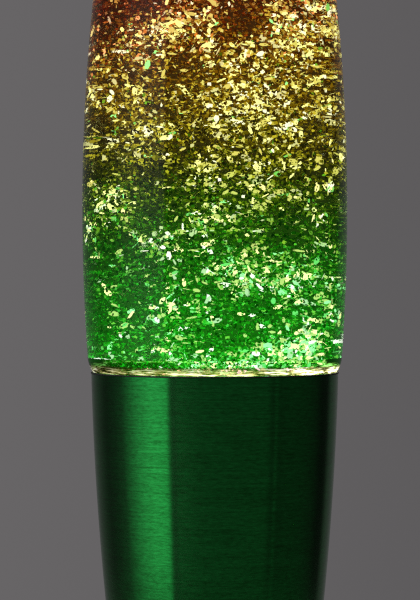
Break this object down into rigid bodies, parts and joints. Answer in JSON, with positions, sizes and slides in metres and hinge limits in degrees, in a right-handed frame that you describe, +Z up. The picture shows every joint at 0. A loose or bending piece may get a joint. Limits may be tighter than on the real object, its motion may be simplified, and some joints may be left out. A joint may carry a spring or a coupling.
{
  "type": "glitter lamp",
  "caption": "Table glitter lamp: a sealed glass bottle of liquid and foil flakes on a hollow metal base with a reflector bulb, under a lift-off metal cap.",
  "frame": {"origin": "centre of the surface the rubber feet stand on", "axes": "+Z up along the lamp's axis; -Y towards the viewer; the cable leaves the back of the base towards +Y"},
  "size_m": [0.1068, 0.1067, 0.4038],
  "materials": {
    "green_anodised": "fine circumferential brushing under a clear green finish",
    "black_plastic": "moulded, slightly textured",
    "black_paint": "satin black paint on steel",
    "zinc_steel": "bright zinc plating",
    "black_rubber": "soft, matt",
    "brass": "plain turned or stamped brass",
    "brown_moulding": "dark brown heat-resistant moulding",
    "ivory_plastic": "moulded",
    "brown_lead": "insulated lead",
    "blue_lead": "insulated lead",
    "green_yellow_lead": "insulated lead",
    "solder": "soldered contact",
    "black_glass": "fused black glass insulator",
    "bright_aluminium": "rolled thread",
    "bulb_glass": "clear, softly frosted front",
    "bulb_mirror": "evaporated aluminium",
    "nickel_wire": "wire",
    "hot_tungsten": "glowing coil",
    "tinted_glass": "clear glass with a transparent finish graded from green through yellow to red",
    "tinted_liquid": "clear liquid, tinted",
    "gold_foil": "mirror foil",
    "tinplate": "lacquered tinplate",
    "pale_liner": "soft liner"
  },
  "bodies": {
    "base": {"base_shell": "green_anodised", "foot_ring": "black_plastic", "base_plate": "black_paint", "plate_screws": "zinc_steel", "rubber_feet": "black_rubber", "rim_gasket": "black_rubber", "cable_grommet": "black_rubber", "holder_bracket": "zinc_steel", "bracket_screws": "zinc_steel", "bracket_nuts": "zinc_steel", "holder_nipple": "brass", "nipple_nut": "brass", "lock_washer": "zinc_steel", "holder_dome": "brown_moulding", "holder_body": "brown_moulding", "holder_thread_shell": "brass", "centre_contact": "brass", "side_contact": "brass", "holder_terminal_screws": "brass", "terminal_block": "ivory_plastic", "terminal_clamps": "brass", "clamp_screws": "zinc_steel", "block_screws": "zinc_steel", "live_lead": "brown_lead", "neutral_lead": "blue_lead", "earth_lead": "green_yellow_lead", "earth_lug": "zinc_steel"},
    "bulb_carriage": {"bulb_contact": "solder"},
    "bulb": {"bulb_insulator": "black_glass", "bulb_screw_cap": "bright_aluminium", "bulb_envelope": "bulb_glass", "bulb_mirror": "bulb_mirror", "bulb_stem": "bulb_glass", "filament_posts": "nickel_wire", "filament": "hot_tungsten"},
    "bottle": {"bottle": "tinted_glass", "liquid": "tinted_liquid", "glitter_flakes": "gold_foil", "crown_closure": "tinplate", "crown_liner": "pale_liner"},
    "cap": {"top_cap": "green_anodised", "cap_insert": "black_plastic"}
  },
  "joints": [
    {"name": "bottle_lift", "type": "slide", "parent": "base", "child": "bottle", "axis": [0, 0, 1], "range_m": [0, 0.1]},
    {"name": "cap_lift", "type": "slide", "parent": "bottle", "child": "cap", "axis": [0, 0, 1], "range_m": [0, 0.075]},
    {"name": "bulb_rise", "type": "slide", "parent": "base", "child": "bulb_carriage", "axis": [0, 0, 1], "range_m": [0, 0.01415]},
    {"name": "bulb_turn", "type": "hinge", "parent": "bulb_carriage", "child": "bulb", "pos_m": [0, 0, 0.0646], "axis": [0, 0, 1], "range_deg": [0, 1800]}
  ],
  "couplings": [
    {"joint": "bulb_rise", "follows": "bulb_turn", "m_per_rad": 0.00044882}
  ]
}
